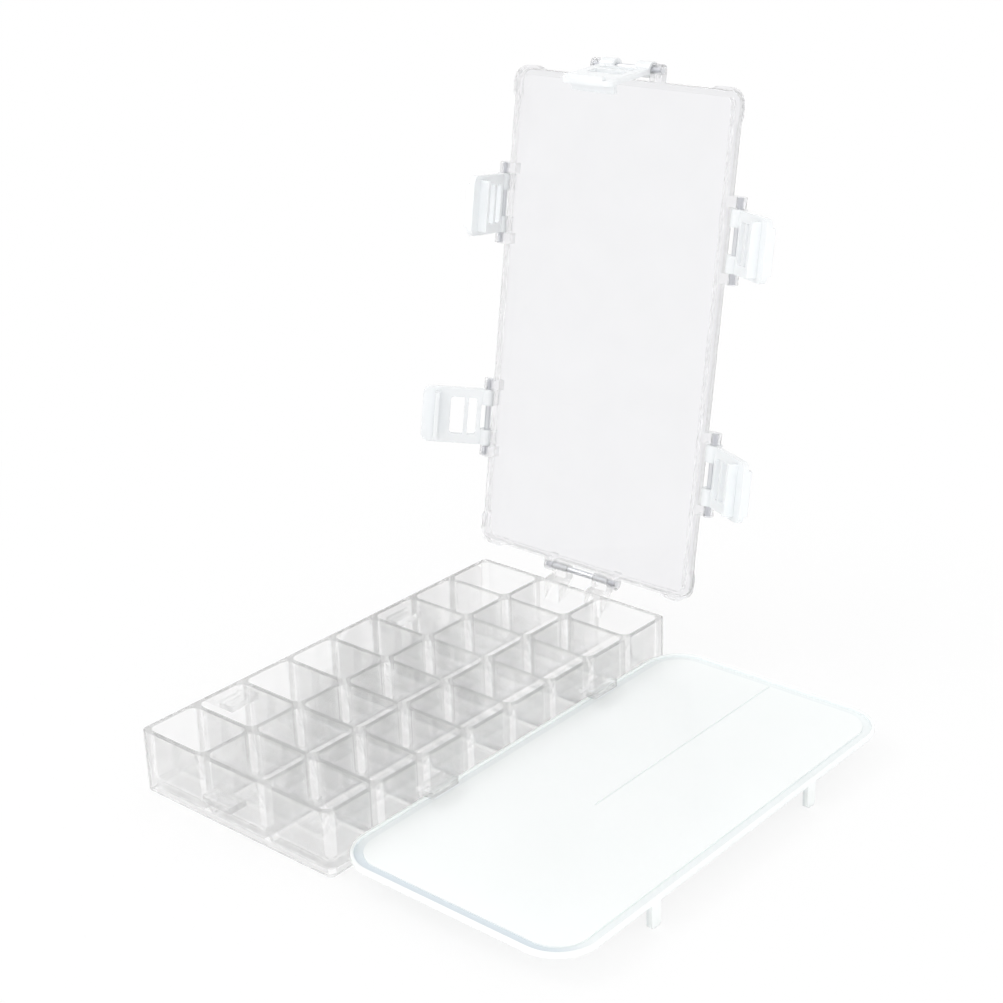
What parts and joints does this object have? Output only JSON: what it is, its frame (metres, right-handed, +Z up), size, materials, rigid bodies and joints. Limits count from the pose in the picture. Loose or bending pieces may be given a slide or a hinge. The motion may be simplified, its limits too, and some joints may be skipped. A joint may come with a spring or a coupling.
{
  "type": "bobbin box",
  "caption": "Clear bobbin storage box: compartment tray with a hinged lid, swinging snap latches on steel pins and a loose inner cover plate on legs.",
  "frame": {"origin": "middle of the tray's underside, on the surface that the box stands on", "axes": "+X across the tray towards the loose cover, +Y from the front latch to the hinge, +Z up"},
  "size_m": [0.2112, 0.2215, 0.2165],
  "materials": {
    "clear_tray": "clear moulded polystyrene",
    "clear_lid": "clear moulded polystyrene",
    "clear_latch": "clear moulded polycarbonate with a faint blue tint",
    "steel": "drawn steel wire",
    "cover": "milky translucent plastic"
  },
  "bodies": {
    "tray": {"tray": "clear_tray"},
    "lid": {"lid": "clear_lid", "hinge_pin": "steel", "latch_pin_front": "steel", "latch_pin_left_front": "steel", "latch_pin_left_rear": "steel", "latch_pin_right_front": "steel", "latch_pin_right_rear": "steel"},
    "latch_front": {"latch_front": "clear_latch"},
    "latch_left_front": {"latch_left_front": "clear_latch"},
    "latch_left_rear": {"latch_left_rear": "clear_latch"},
    "latch_right_front": {"latch_right_front": "clear_latch"},
    "latch_right_rear": {"latch_right_rear": "clear_latch"},
    "inner_cover": {"inner_cover": "cover"}
  },
  "joints": [
    {"name": "lid_hinge", "type": "hinge", "parent": "tray", "child": "lid", "pos_m": [0, 0.0937, 0.02592], "axis": [-1, 0, 0], "range_deg": [-99.07, 0]},
    {"name": "latch_front_swing", "type": "hinge", "parent": "lid", "child": "latch_front", "pos_m": [0, 0.1243, 0.21359], "axis": [-1, 0, 0], "range_deg": [0, 132]},
    {"name": "latch_left_front_swing", "type": "hinge", "parent": "lid", "child": "latch_left_front", "pos_m": [-0.0532, 0.11565, 0.15943], "axis": [0, -0.1576, -0.9875], "range_deg": [0, 132]},
    {"name": "latch_left_rear_swing", "type": "hinge", "parent": "lid", "child": "latch_left_rear", "pos_m": [-0.0532, 0.10236, 0.07618], "axis": [0, -0.1576, -0.9875], "range_deg": [-59.6, 72.4]},
    {"name": "latch_right_front_swing", "type": "hinge", "parent": "lid", "child": "latch_right_front", "pos_m": [0.0532, 0.11565, 0.15943], "axis": [0, 0.1576, 0.9875], "range_deg": [-69, 63]},
    {"name": "latch_right_rear_swing", "type": "hinge", "parent": "lid", "child": "latch_right_rear", "pos_m": [0.0532, 0.10236, 0.07618], "axis": [0, 0.1576, 0.9875], "range_deg": [-72, 60]},
    {"name": "cover_slide", "type": "slide", "parent": "tray", "child": "inner_cover", "axis": [-1, 0, 0], "range_m": [-0.12, 0]}
  ]
}
